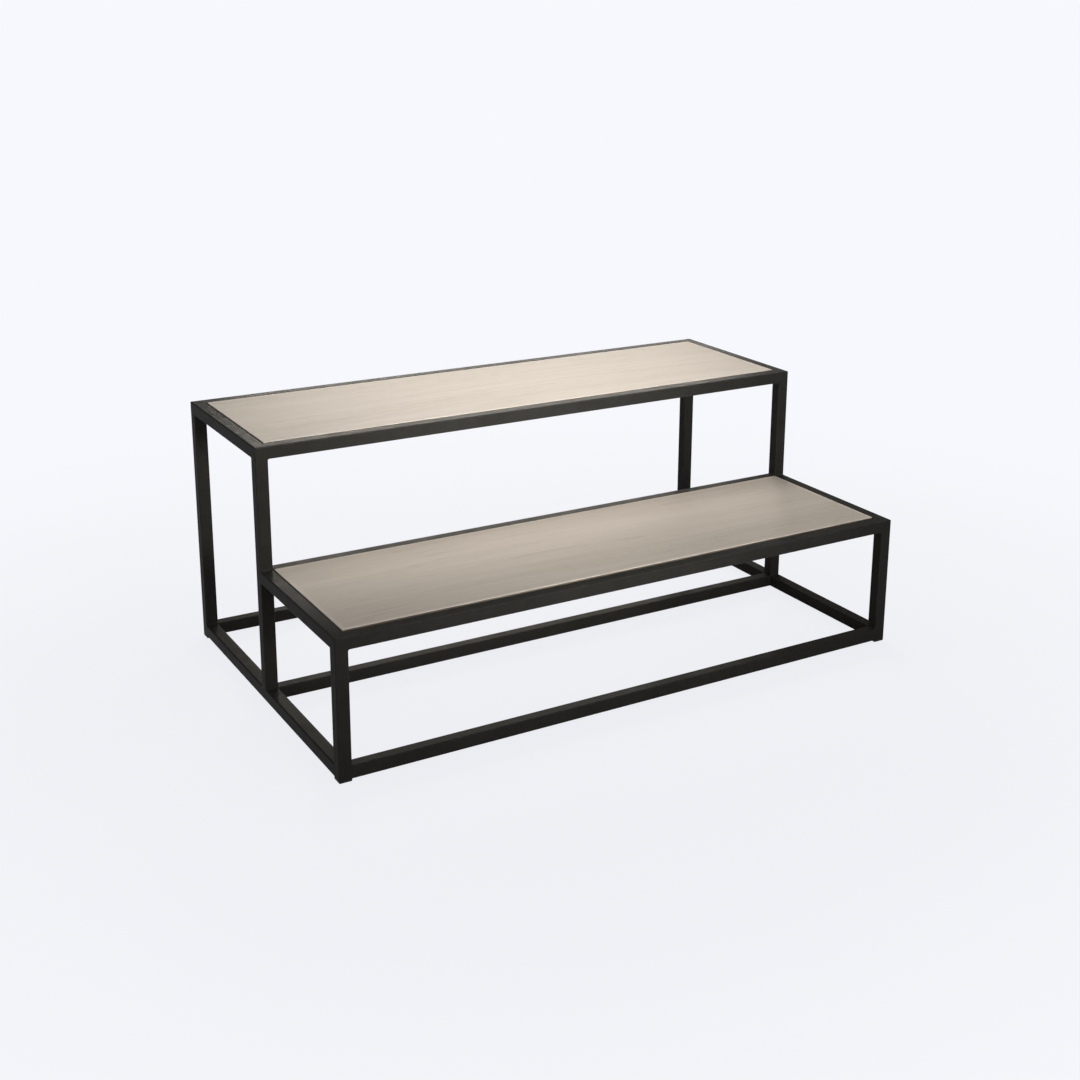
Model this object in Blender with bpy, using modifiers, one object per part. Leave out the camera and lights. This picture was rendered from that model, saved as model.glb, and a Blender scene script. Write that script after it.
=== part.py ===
# Two-tier display riser: a welded frame of square steel tube that carries two
# inset shelf boards, the rear one about twice as high as the front one.
# Metres, +Z up. The origin is on the floor at the middle of the footprint,
# the low tier faces -Y, and left means -X.

import math

import bmesh
import bpy

# Frame, measured over the tubes
FRAME_LENGTH = 1.000
FRAME_DEPTH = 0.600
UPPER_TIER_DEPTH = 0.310
LOWER_OPEN_HEIGHT = 0.175  # between the base rails and the low tier
UPPER_OPEN_HEIGHT = 0.175  # between the low tier and the high tier

# Square steel tube
TUBE = 0.020
TUBE_WALL = 0.0015
TUBE_BEND = 0.0005  # radius inside the corners
TUBE_BEND_STEPS = 4

# Shelf boards, set into the tier rings
BOARD_THICKNESS = 0.016
BOARD_PROUD = 0.0010  # how far the board stands above its ring
BOARD_END_GAP = 0.001  # shadow gap at the left and right ends
BOARD_NEAR_GAP = 0.0005  # along the long edge that the board is pushed to
BOARD_FAR_GAP = 0.0035  # along the other long edge
BOARD_ARRIS = 0.0008
BOARD_ARRIS_STEPS = 2

# Welded tabs under the boards
TAB_LENGTH = 0.040
TAB_DEPTH = 0.016
TAB_THICKNESS = 0.002
TAB_CORNER = 0.005
TAB_CORNER_STEPS = 4
TABS_PER_RAIL = 3
TAB_END_INSET = 0.090  # from the inside of the ring to the middle of its last tab

# Pan-head screws, driven up through the tabs into the boards
SCREW_SHANK = 0.0035
SCREW_LENGTH = 0.012  # under the head
SCREW_POINT = 0.004
SCREW_TIP = 0.0006  # flat at the end of the point
SCREW_HEAD = 0.0075
SCREW_HEAD_HEIGHT = 0.0024
SCREW_HEAD_RIM = 0.0008  # straight side of the head, below which it domes
SCREW_DOME_STEPS = 4
SCREW_SIDES = 20
TAB_HOLE_ROOM = 0.0005  # around the shank
PILOT_ROOM = 0.0003  # around the shank in the board
PILOT_END_ROOM = 0.0005  # past the screw's tip

# Push-in glides in the corner legs
GLIDE_HEAD = 0.003
GLIDE_EDGE = 0.001  # rounding of the lower edge
GLIDE_EDGE_STEPS = 2
GLIDE_PLUG = 0.018
GLIDE_FINS = 3
GLIDE_FIN_THICKNESS = 0.0016
GLIDE_FIN_REACH = 0.0018  # from the core to the tip of a fin

# Gap that touching pieces keep
FIT_GAP = 0.0003
WELD_DISTANCE = 0.000001

# Cutters
CUTTER_ROOM = 0.002  # how far a cutter reaches past the metal
GRIND_LIFT = 0.00005  # the rounding starts this far off the faces, so that it meets them in an edge

# Places that follow from the sizes above
TUBE_CORNER = TUBE_BEND + TUBE_WALL
MITRE_GAP = FIT_GAP / math.sqrt(2)  # along a tube, for the gap square to a mitre
LEG_FOOT = GLIDE_HEAD + FIT_GAP
SIDE_X = FRAME_LENGTH / 2 - TUBE / 2
BACK_Y = FRAME_DEPTH / 2 - TUBE / 2
FRONT_Y = -BACK_Y
MIDDLE_Y = FRAME_DEPTH / 2 - UPPER_TIER_DEPTH + TUBE / 2
BASE_Z = LEG_FOOT + TUBE / 2
LOWER_Z = BASE_Z + TUBE + LOWER_OPEN_HEIGHT
UPPER_Z = LOWER_Z + TUBE + UPPER_OPEN_HEIGHT
RING_LENGTH = FRAME_LENGTH - 2 * TUBE  # opening of both tier rings along X
TAB_TOP = BOARD_PROUD - BOARD_THICKNESS - FIT_GAP  # from the top of the ring
SCREW_SEAT = TAB_TOP - TAB_THICKNESS - FIT_GAP

# Turns that lay a piece drawn along Z on another axis
ALONG_X = (math.radians(90), 0, math.radians(90))  # the piece's own X turns to +Y
ALONG_Y = (math.radians(-90), 0, 0)  # the piece's own X stays on +X
UPRIGHT = (0, 0, 0)
ABOUT_FACE = (0, 0, math.radians(180))


def clear_scene():
    for item in list(bpy.data.objects):
        bpy.data.objects.remove(item)


def new_collection(name, parent):
    made = bpy.data.collections.new(name)
    parent.children.link(made)
    return made


def new_finish(name, colour, roughness, metallic):
    finish = bpy.data.materials.new(name)
    finish.use_nodes = True
    shader = finish.node_tree.nodes["Principled BSDF"]
    shader.inputs["Base Color"].default_value = (*colour, 1)
    shader.inputs["Roughness"].default_value = roughness
    shader.inputs["Metallic"].default_value = metallic
    return finish


def place_group(name, y, z):
    """An empty that the pieces of one group are placed from."""
    group = bpy.data.objects.new(name, None)
    parts.objects.link(group)
    group.location = (0, y, z)
    return group


def place_part(name, mesh, finish, group, location, rotation=UPRIGHT):
    part = bpy.data.objects.new(name, mesh)
    parts.objects.link(part)
    part.parent = group
    part.location = location
    part.rotation_euler = rotation
    if not mesh.materials:
        mesh.materials.append(finish)
    return part


def place_cutter(name, mesh, collection, group=None, location=(0, 0, 0)):
    cutter = bpy.data.objects.new(name, mesh)
    collection.objects.link(cutter)
    cutter.parent = group
    cutter.location = location
    cutter.display_type = "WIRE"
    cutter.hide_render = True
    return cutter


def arc(centre_x, centre_y, radius, start, steps):
    """Points of a quarter circle that begins at the angle start, in degrees."""
    angles = [math.radians(start + 90 * step / steps) for step in range(steps + 1)]
    return [
        (centre_x + radius * math.cos(a), centre_y + radius * math.sin(a)) for a in angles
    ]


def rounded_square(side, radius, steps):
    reach = side / 2 - radius
    points = []
    for start, x, y in ((0, 1, 1), (90, -1, 1), (180, -1, -1), (270, 1, -1)):
        points += arc(x * reach, y * reach, radius, start, steps)
    return points


def circle(centre_x, centre_y, radius, sides):
    angles = [2 * math.pi * side / sides for side in range(sides)]
    return [
        (centre_x + radius * math.cos(a), centre_y + radius * math.sin(a)) for a in angles
    ]


def mesh_of(item):
    """The mesh that an object shows with its modifiers; the object is removed."""
    graph = bpy.context.evaluated_depsgraph_get()
    mesh = bpy.data.meshes.new_from_object(item.evaluated_get(graph))
    bpy.data.objects.remove(item)
    return mesh


def cut_away(part, name, cutter_group):
    """Take the cutters of a collection out of a part."""
    cut = part.modifiers.new(name, "BOOLEAN")
    cut.operation = "DIFFERENCE"
    cut.operand_type = "COLLECTION"
    cut.collection = cutter_group
    cut.solver = "EXACT"


def shade_round(mesh):
    mesh.shade_smooth()
    mesh.set_sharp_from_angle(angle=math.radians(35))


def extruded(name, outlines, height):
    """A mesh of the outlines, holes included, drawn out along Z about its middle."""
    curve = bpy.data.curves.new(name, "CURVE")
    curve.dimensions = "2D"
    curve.fill_mode = "BOTH"
    curve.extrude = height / 2
    for outline in outlines:
        spline = curve.splines.new("POLY")
        spline.points.add(len(outline) - 1)
        for point, (x, y) in zip(spline.points, outline):
            point.co = (x, y, 0, 1)
        spline.use_cyclic_u = True
    drawn = bpy.data.objects.new(name, curve)
    bpy.context.scene.collection.objects.link(drawn)
    mesh = mesh_of(drawn)
    mesh.name = name
    shell = bmesh.new()
    shell.from_mesh(mesh)
    bmesh.ops.remove_doubles(shell, verts=shell.verts, dist=WELD_DISTANCE)
    bmesh.ops.recalc_face_normals(shell, faces=shell.faces)
    shell.to_mesh(mesh)
    shell.free()
    return mesh


def turned(name, profile, sides):
    """A closed mesh turned about Z from a profile that runs down its outer side."""
    mesh = bpy.data.meshes.new(name)
    edges = [(step, step + 1) for step in range(len(profile) - 1)]
    mesh.from_pydata([(x, 0, z) for x, z in profile], edges, [])
    spun = bpy.data.objects.new(name, mesh)
    bpy.context.scene.collection.objects.link(spun)
    screw = spun.modifiers.new("turn", "SCREW")
    screw.steps = sides
    screw.render_steps = sides
    screw.use_merge_vertices = True
    screw.merge_threshold = WELD_DISTANCE
    made = mesh_of(spun)
    made.name = name
    return made


def add_tube(name, group, turn, middle, run, start_slope=0, end_slope=0):
    """A square tube of length run along its centre line.

    A slope of 1 or -1 mitres that end, 1 where the inside of the ring lies on
    the tube's own +X side.
    """
    outer = rounded_square(TUBE, TUBE_CORNER, TUBE_BEND_STEPS)
    inner = rounded_square(TUBE - 2 * TUBE_WALL, TUBE_BEND, TUBE_BEND_STEPS)
    mesh = extruded(name, [outer, inner], run)
    for vertex in mesh.vertices:
        if vertex.co.z > 0:
            vertex.co.z -= end_slope * vertex.co.x
        else:
            vertex.co.z += start_slope * vertex.co.x
    shade_round(mesh)
    return place_part(name, mesh, powder_coat, group, middle, turn)


def add_base():
    base = place_group("base_frame", 0, BASE_Z)
    across = FRAME_LENGTH - 2 * TUBE - 2 * FIT_GAP
    along = FRAME_DEPTH - 2 * TUBE - 2 * FIT_GAP
    for name, y in (("front", FRONT_Y), ("middle", MIDDLE_Y), ("back", BACK_Y)):
        add_tube(f"base_{name}_rail", base, ALONG_X, (0, y, 0), across)
    for name, x in (("left", -SIDE_X), ("right", SIDE_X)):
        add_tube(f"base_{name}_rail", base, ALONG_Y, (x, 0, 0), along)


def add_legs():
    legs = place_group("legs", 0, 0)
    under_lower = LOWER_Z - TUBE / 2 - FIT_GAP
    under_upper = UPPER_Z - TUBE / 2 - FIT_GAP
    on_base = BASE_Z + TUBE / 2 + FIT_GAP
    for row, y, bottom, top in (
        ("front", FRONT_Y, LEG_FOOT, under_lower),
        ("middle", MIDDLE_Y, on_base, under_upper),
        ("rear", BACK_Y, LEG_FOOT, under_upper),
    ):
        for side, x in (("left", -SIDE_X), ("right", SIDE_X)):
            middle = (x, y, (bottom + top) / 2)
            add_tube(f"{row}_{side}_leg", legs, UPRIGHT, middle, top - bottom)


def corner_cutters(name, tier, depth, count):
    """Cutters that round the upright outer edges of a ring, from the front left one on."""
    grinding = new_collection(f"{name}_grinding", cutters)
    radius = TUBE_CORNER
    outline = [(-CUTTER_ROOM, radius), (-CUTTER_ROOM, -CUTTER_ROOM), (radius, -CUTTER_ROOM)]
    outline += reversed(arc(radius, radius, radius + GRIND_LIFT, 180, TUBE_BEND_STEPS))
    mesh = extruded(f"{name}_grinder", [outline], TUBE + 2 * CUTTER_ROOM)
    side, edge = FRAME_LENGTH / 2, depth / 2
    places = [(-side, -edge), (side, -edge), (side, edge), (-side, edge)]
    for number, (x, y) in enumerate(places[:count]):
        cutter = place_cutter(f"{name}_grinder_{number + 1}", mesh, grinding, tier, (x, y, -TUBE / 2))
        cutter.rotation_euler = (0, 0, math.radians(90 * number))
    return grinding


def add_upper_ring(tier, depth):
    """Four rails, mitred at every corner. The group lies on top of the ring."""
    z = -TUBE / 2
    grinding = corner_cutters("upper_ring", tier, depth, 4)
    edge = (depth - TUBE) / 2
    across = 2 * (SIDE_X - MITRE_GAP)
    along = 2 * (edge - MITRE_GAP)
    for name, y, slope in (("front", -edge, 1), ("back", edge, -1)):
        rail = add_tube(f"upper_{name}_rail", tier, ALONG_X, (0, y, z), across, slope, slope)
        cut_away(rail, "ground corners", grinding)
    for name, x, slope in (("left", -SIDE_X, 1), ("right", SIDE_X, -1)):
        rail = add_tube(f"upper_{name}_rail", tier, ALONG_Y, (x, 0, z), along, slope, slope)
        cut_away(rail, "ground corners", grinding)


def add_lower_ring(tier, depth):
    """The front rail is mitred to the side rails, which end on the middle legs."""
    z = -TUBE / 2
    edge = (depth - TUBE) / 2
    grinding = corner_cutters("lower_ring", tier, depth, 2)
    front = add_tube(
        "lower_front_rail", tier, ALONG_X, (0, -edge, z), 2 * (SIDE_X - MITRE_GAP), 1, 1
    )
    cut_away(front, "ground corners", grinding)
    add_tube(
        "lower_back_rail", tier, ALONG_X, (0, edge, z), RING_LENGTH - 2 * FIT_GAP
    )
    start = -edge + MITRE_GAP
    end = edge - TUBE / 2 - FIT_GAP
    middle_y = (start + end) / 2
    for name, x, slope in (("left", -SIDE_X, 1), ("right", SIDE_X, -1)):
        middle = (x, middle_y, z)
        rail = add_tube(f"lower_{name}_rail", tier, ALONG_Y, middle, end - start, slope)
        cut_away(rail, "ground corners", grinding)


def tab_places(depth):
    """Name, hole centre and turn of each tab of a tier whose ring is depth deep."""
    last = RING_LENGTH / 2 - TAB_END_INSET
    hole_y = depth / 2 - TUBE - FIT_GAP - TAB_DEPTH / 2
    places = []
    for row, y, turn in (("front", -hole_y, UPRIGHT), ("back", hole_y, ABOUT_FACE)):
        for count in range(TABS_PER_RAIL):
            x = -last + 2 * last * count / (TABS_PER_RAIL - 1)
            places.append((f"{row}_{count + 1}", x, y, turn))
    return places


def tab_mesh():
    """A tab about its screw hole, with its welded edge towards -Y."""
    side = TAB_LENGTH / 2
    edge = TAB_DEPTH / 2
    reach = side - TAB_CORNER
    outline = [(-side, -edge), (side, -edge)]
    outline += arc(reach, edge - TAB_CORNER, TAB_CORNER, 0, TAB_CORNER_STEPS)
    outline += arc(-reach, edge - TAB_CORNER, TAB_CORNER, 90, TAB_CORNER_STEPS)
    hole = circle(0, 0, SCREW_SHANK / 2 + TAB_HOLE_ROOM, SCREW_SIDES)
    mesh = extruded("shelf_tab", [outline, hole], TAB_THICKNESS)
    shade_round(mesh)
    return mesh


def screw_mesh():
    """A pan-head screw that points up, with the underside of its head at z = 0."""
    shank = SCREW_SHANK / 2
    head = SCREW_HEAD / 2
    dome = SCREW_HEAD_HEIGHT - SCREW_HEAD_RIM
    profile = [
        (0, SCREW_LENGTH),
        (SCREW_TIP / 2, SCREW_LENGTH),
        (shank, SCREW_LENGTH - SCREW_POINT),
        (shank, 0),
        (head, 0),
    ]
    for step in range(SCREW_DOME_STEPS + 1):
        angle = math.radians(90) * step / SCREW_DOME_STEPS
        x = head * math.cos(angle)
        profile.append((max(x, 0), -SCREW_HEAD_RIM - dome * math.sin(angle)))
    mesh = turned("shelf_screw", profile, SCREW_SIDES)
    shade_round(mesh)
    return mesh


def add_board(name, tier, depth, push, places):
    """A shelf board with an eased edge and a blind pilot hole over every tab.

    The board lies off the middle of its ring, towards +Y where push is 1.
    """
    pilots = new_collection(f"{name}_pilots", cutters)
    into_board = SCREW_LENGTH - TAB_THICKNESS - 2 * FIT_GAP + PILOT_END_ROOM
    below = FIT_GAP  # the cutter starts under the board, in the gap to the tab
    shape = circle(0, 0, SCREW_SHANK / 2 + PILOT_ROOM, SCREW_SIDES)
    pilot = extruded(f"{name}_pilot", [shape], into_board + below)
    pilot_z = TAB_TOP + (into_board + below) / 2
    for label, x, y, _ in places:
        place_cutter(f"{name}_pilot_{label}", pilot, pilots, tier, (x, y, pilot_z))

    length = RING_LENGTH - 2 * BOARD_END_GAP
    width = depth - 2 * TUBE - BOARD_NEAR_GAP - BOARD_FAR_GAP
    off_middle = push * (BOARD_FAR_GAP - BOARD_NEAR_GAP) / 2
    mesh = bpy.data.meshes.new(name)
    slab = bmesh.new()
    bmesh.ops.create_cube(slab, size=1)
    bmesh.ops.scale(slab, vec=(length, width, BOARD_THICKNESS), verts=slab.verts)
    slab.to_mesh(mesh)
    slab.free()
    middle_z = BOARD_PROUD - BOARD_THICKNESS / 2
    board = place_part(name, mesh, board_finish, tier, (0, off_middle, middle_z))
    easing = board.modifiers.new("eased edges", "BEVEL")
    easing.width = BOARD_ARRIS
    easing.segments = BOARD_ARRIS_STEPS
    cut_away(board, "pilot holes", pilots)


def add_shelf(label, tier, depth, push):
    """The board of one tier, and the tabs and screws that hold it."""
    places = tab_places(depth)
    add_board(f"{label}_shelf_board", tier, depth, push, places)
    tab_z = TAB_TOP - TAB_THICKNESS / 2
    for place, x, y, turn in places:
        place_part(f"{label}_tab_{place}", tab, powder_coat, tier, (x, y, tab_z), turn)
        place_part(
            f"{label}_screw_{place}", screw, zinc_plate, tier, (x, y, SCREW_SEAT)
        )


def glide_mesh():
    """A square glide that stands at z = 0: a rounded head and a finned plug."""
    head = extruded(
        "glide_head", [rounded_square(TUBE, TUBE_CORNER, TUBE_BEND_STEPS)], GLIDE_HEAD
    )
    shell = bmesh.new()
    shell.from_mesh(head)
    bmesh.ops.translate(shell, vec=(0, 0, GLIDE_HEAD / 2), verts=shell.verts)
    bmesh.ops.dissolve_limit(
        shell, angle_limit=math.radians(1), verts=shell.verts, edges=shell.edges
    )
    lower_edge = [
        edge
        for edge in shell.edges
        if all(vertex.co.z < GLIDE_HEAD / 2 for vertex in edge.verts)
    ]
    bmesh.ops.bevel(
        shell,
        geom=lower_edge,
        offset=GLIDE_EDGE,
        segments=GLIDE_EDGE_STEPS,
        profile=0.5,
        affect="EDGES",
    )
    shell.to_mesh(head)
    shell.free()

    fin_side = TUBE - 2 * TUBE_WALL - 2 * FIT_GAP
    core_side = fin_side - 2 * GLIDE_FIN_REACH
    core_height = GLIDE_HEAD / 2 + GLIDE_PLUG
    core_shape = rounded_square(core_side, TUBE_BEND, TUBE_BEND_STEPS)
    fin_shape = rounded_square(fin_side, TUBE_BEND, TUBE_BEND_STEPS)
    core = extruded("glide_core", [core_shape], core_height)
    fin = extruded("glide_fin", [fin_shape], GLIDE_FIN_THICKNESS)
    additions = [("glide_core", core, GLIDE_HEAD / 2 + core_height / 2)]
    for count in range(GLIDE_FINS):
        fin_z = GLIDE_HEAD + GLIDE_PLUG * (count + 1) / (GLIDE_FINS + 1)
        additions.append((f"glide_fin_{count + 1}", fin, fin_z))

    glide = bpy.data.objects.new("glide", head)
    bpy.context.scene.collection.objects.link(glide)
    for name, mesh, z in additions:
        union = glide.modifiers.new(name, "BOOLEAN")
        union.operation = "UNION"
        union.object = place_cutter(name, mesh, cutters, None, (0, 0, z))
        union.solver = "EXACT"
    joined = [union.object for union in glide.modifiers]
    mesh = mesh_of(glide)
    mesh.name = "leg_glide"
    for item in joined:
        bpy.data.objects.remove(item)
    shade_round(mesh)
    return mesh


def add_glides():
    feet = place_group("feet", 0, 0)
    for row, y in (("front", FRONT_Y), ("rear", BACK_Y)):
        for side, x in (("left", -SIDE_X), ("right", SIDE_X)):
            place_part(f"{row}_{side}_glide", glide_shape, glide_plastic, feet, (x, y, 0))


clear_scene()
parts = new_collection("two_tier_display_riser", bpy.context.scene.collection)
cutters = new_collection("riser_cutters", bpy.context.scene.collection)
powder_coat = new_finish("black_powder_coat", (0.022, 0.020, 0.018), 0.48, 0.0)
board_finish = new_finish("pale_oak_board", (0.56, 0.50, 0.42), 0.55, 0.0)
zinc_plate = new_finish("zinc_plated_steel", (0.62, 0.62, 0.60), 0.35, 1.0)
glide_plastic = new_finish("black_plastic", (0.018, 0.018, 0.018), 0.6, 0.0)
tab = tab_mesh()
screw = screw_mesh()
glide_shape = glide_mesh()

add_base()
add_legs()
add_glides()

lower_depth = FRAME_DEPTH - UPPER_TIER_DEPTH + TUBE  # the tiers share the middle legs
upper_middle = FRAME_DEPTH / 2 - UPPER_TIER_DEPTH / 2
lower_middle = lower_depth / 2 - FRAME_DEPTH / 2
upper_tier = place_group("upper_tier", upper_middle, UPPER_Z + TUBE / 2)
lower_tier = place_group("lower_tier", lower_middle, LOWER_Z + TUBE / 2)
add_upper_ring(upper_tier, UPPER_TIER_DEPTH)
add_lower_ring(lower_tier, lower_depth)
add_shelf("upper", upper_tier, UPPER_TIER_DEPTH, -1)  # pushed forward
add_shelf("lower", lower_tier, lower_depth, 1)  # pushed back
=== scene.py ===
import math

import bmesh
import bpy
from mathutils import Matrix, Vector


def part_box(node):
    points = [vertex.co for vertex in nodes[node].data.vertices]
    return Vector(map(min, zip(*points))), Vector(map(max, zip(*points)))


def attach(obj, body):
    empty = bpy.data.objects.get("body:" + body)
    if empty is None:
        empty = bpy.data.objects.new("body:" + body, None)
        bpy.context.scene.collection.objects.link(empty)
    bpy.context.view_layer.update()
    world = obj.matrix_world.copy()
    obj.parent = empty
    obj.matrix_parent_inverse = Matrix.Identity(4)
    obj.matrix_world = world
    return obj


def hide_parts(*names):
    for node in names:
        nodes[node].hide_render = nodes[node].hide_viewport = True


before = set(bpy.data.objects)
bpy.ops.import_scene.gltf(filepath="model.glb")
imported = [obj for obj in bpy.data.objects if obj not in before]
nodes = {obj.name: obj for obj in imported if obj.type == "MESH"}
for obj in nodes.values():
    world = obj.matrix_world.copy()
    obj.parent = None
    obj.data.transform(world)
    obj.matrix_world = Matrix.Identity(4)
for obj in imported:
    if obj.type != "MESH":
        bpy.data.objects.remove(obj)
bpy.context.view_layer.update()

scene = bpy.context.scene
print("frame loaded:", len(nodes), "CAD nodes")


# small helpers for the node trees

nodeGrid = {"wide": 220, "high": 260, "columns": 12}    # how the nodes lie in the editor
noiseRange = (0.3, 0.7)                                 # holds most values of a noise cloud


def add(tree, kind, wired=None, **settings):
    node = tree.nodes.new(kind)
    row, column = divmod(len(tree.nodes), nodeGrid["columns"])
    node.location = (nodeGrid["wide"] * column, -nodeGrid["high"] * row)
    for key, value in settings.items():
        setattr(node, key, value)
    for key, value in (wired or {}).items():
        if isinstance(value, bpy.types.NodeSocket):
            tree.links.new(value, node.inputs[key])
        else:
            node.inputs[key].default_value = value
    return node


def calc(tree, operation, first, second=0.0, third=0.0):
    node = add(tree, "ShaderNodeMath", {0: first, 1: second, 2: third}, operation=operation)
    return node.outputs[0]


def parts(tree, vector):
    return add(tree, "ShaderNodeSeparateXYZ", {"Vector": vector}).outputs


def joined(tree, x=0.0, y=0.0, z=0.0):
    return add(tree, "ShaderNodeCombineXYZ", {"X": x, "Y": y, "Z": z}).outputs[0]


def spread(tree, value, limits, low=0.0, high=1.0, smooth=False):
    wired = {"Value": value, "From Min": limits[0], "From Max": limits[1], "To Min": low, "To Max": high}
    node = add(tree, "ShaderNodeMapRange", wired)
    if smooth:
        node.interpolation_type = "SMOOTHSTEP"
    return node.outputs["Result"]


def blendColour(tree, factor, first, second):
    # inputs 6 and 7 and output 2 are the node's colours
    return add(tree, "ShaderNodeMix", {0: factor, 6: first, 7: second}, data_type="RGBA").outputs[2]


def cloud(tree, vector, scale, detail=3.0, roughness=0.5):
    # three scales draw the cloud out along an axis
    if isinstance(scale, tuple):
        vector = add(tree, "ShaderNodeMapping", {"Vector": vector, "Scale": scale}).outputs["Vector"]
        scale = 1.0
    wired = {"Vector": vector, "Scale": scale, "Detail": detail, "Roughness": roughness}
    return add(tree, "ShaderNodeTexNoise", wired).outputs[0]


def newFinish(name):
    finish = bpy.data.materials.new(name)
    finish.use_nodes = True
    tree = finish.node_tree
    shader = tree.nodes["Principled BSDF"]
    place = add(tree, "ShaderNodeTexCoord")
    return finish, tree, shader, place


def emboss(tree, shader, height, strength, depth):
    bump = add(tree, "ShaderNodeBump", {"Height": height, "Strength": strength, "Distance": depth})
    tree.links.new(bump.outputs[0], shader.inputs["Normal"])


# satin black powder coat on the tubes, tabs and welds

coat = {
    "deep": (0.0365, 0.0350, 0.0318, 1),
    "dusty": (0.0465, 0.0446, 0.0405, 1),
    "rubbed": (0.0710, 0.0680, 0.0620, 1),
    "patchScale": 9.0,
    "dustScale": 60.0,
    "dustShare": 0.45,
    "dustRange": (0.36, 0.66),
    "cornerRange": (0.99, 0.9),
    "scuffScale": 130.0,
    "scuffRange": (0.46, 0.64),
    "scuffLeast": 0.15,
    "rubbedShare": 0.6,
    "rubbedGloss": 0.06,
    "specular": 0.0050,
    "roughScale": 34.0,
    "roughLow": 0.27,
    "roughHigh": 0.36,
    "peelScale": 620.0,     # ripples of the cured powder, about 1.6 mm apart
    "grainScale": 2600.0,
    "grainShare": 0.3,
    "bump": 0.22,
    "bumpDepth": 0.00025,
}


def makeCoat():
    finish, tree, shader, place = newFinish("satin_black_coat")
    at = place.outputs["Object"]
    patches = cloud(tree, at, coat["patchScale"], detail=4.0, roughness=0.6)
    dust = cloud(tree, at, coat["dustScale"], detail=3.0, roughness=0.6)
    tone = calc(tree, "MULTIPLY", patches, 1 - coat["dustShare"])
    tone = calc(tree, "MULTIPLY_ADD", dust, coat["dustShare"], tone)
    colour = blendColour(tree, spread(tree, tone, coat["dustRange"]), coat["deep"], coat["dusty"])
    # the rounded tube corners turn away from all three axes, and there the coat is rubbed thin
    normal = place.outputs["Normal"]
    turned = add(tree, "ShaderNodeVectorMath", {0: normal}, operation="ABSOLUTE").outputs[0]
    x, y, z = parts(tree, turned)
    flat = calc(tree, "MAXIMUM", calc(tree, "MAXIMUM", x, y), z)
    corner = spread(tree, flat, coat["cornerRange"])
    scuff = cloud(tree, at, coat["scuffScale"], detail=4.0, roughness=0.65)
    worn = calc(tree, "MULTIPLY", corner, spread(tree, scuff, coat["scuffRange"], coat["scuffLeast"]))
    colour = blendColour(tree, calc(tree, "MULTIPLY", worn, coat["rubbedShare"]), colour, coat["rubbed"])
    tree.links.new(colour, shader.inputs["Base Color"])
    rough = cloud(tree, at, coat["roughScale"], detail=4.0, roughness=0.6)
    rough = spread(tree, rough, noiseRange, coat["roughLow"], coat["roughHigh"])
    rough = calc(tree, "MULTIPLY_ADD", worn, -coat["rubbedGloss"], rough)
    tree.links.new(rough, shader.inputs["Roughness"])
    shader.inputs["Specular IOR Level"].default_value = coat["specular"]
    peel = cloud(tree, at, coat["peelScale"], detail=2.0, roughness=0.45)
    speck = cloud(tree, at, coat["grainScale"], detail=1.0)
    height = calc(tree, "MULTIPLY_ADD", speck, coat["grainShare"], peel)
    emboss(tree, shader, height, coat["bump"], coat["bumpDepth"])
    return finish


# pale greige oak decor of the boards, grain along X

oak = {
    "pale": (0.625, 0.558, 0.485, 1),
    "brown": (0.548, 0.486, 0.415, 1),
    "fleck": (0.43, 0.372, 0.310, 1),
    "pore": (0.34, 0.288, 0.232, 1),
    # arris: pale colour of the painted highlight along the board edges, with some wear
    "arris": (0.78, 0.715, 0.640, 1),
    "wanderScale": (1.3, 4.0, 4.0),
    "wander": 0.06,
    "bandScale": (0.8, 13.0, 13.0),
    "bandShare": 0.34,
    "contours": 8.0,        # lines of the flat-sawn figure
    "figureShare": 0.035,
    "fibreScale": (3.2, 460.0, 460.0),
    "fibreShare": 0.43,
    "toneRange": (0.27, 0.53),
    "fleckScale": (9.0, 120.0, 120.0),
    "fleckRange": (0.55, 0.68),
    "driftScale": (3.0, 9.0, 9.0),
    "driftRange": (0.42, 0.62),
    "driftLeast": 0.1,
    "fleckShare": 0.32,
    "poreScale": (40.0, 1500.0, 1500.0),
    "poreRange": (0.61, 0.67),
    "crowdRange": (0.35, 0.65),
    "crowdLeast": 0.25,
    "poreShare": 0.62,
    "poreRough": 0.12,
    "poreDepth": 0.8,
    "highlightAndWearScale": 45.0,
    "highlightAndWearLeast": 0.55,
    "highlightAndWearShare": 0.9,
    "roughLow": 0.44,
    "roughHigh": 0.58,
    "specular": 0.03,
    "bump": 0.16,
    "bumpDepth": 0.0003,
}


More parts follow.
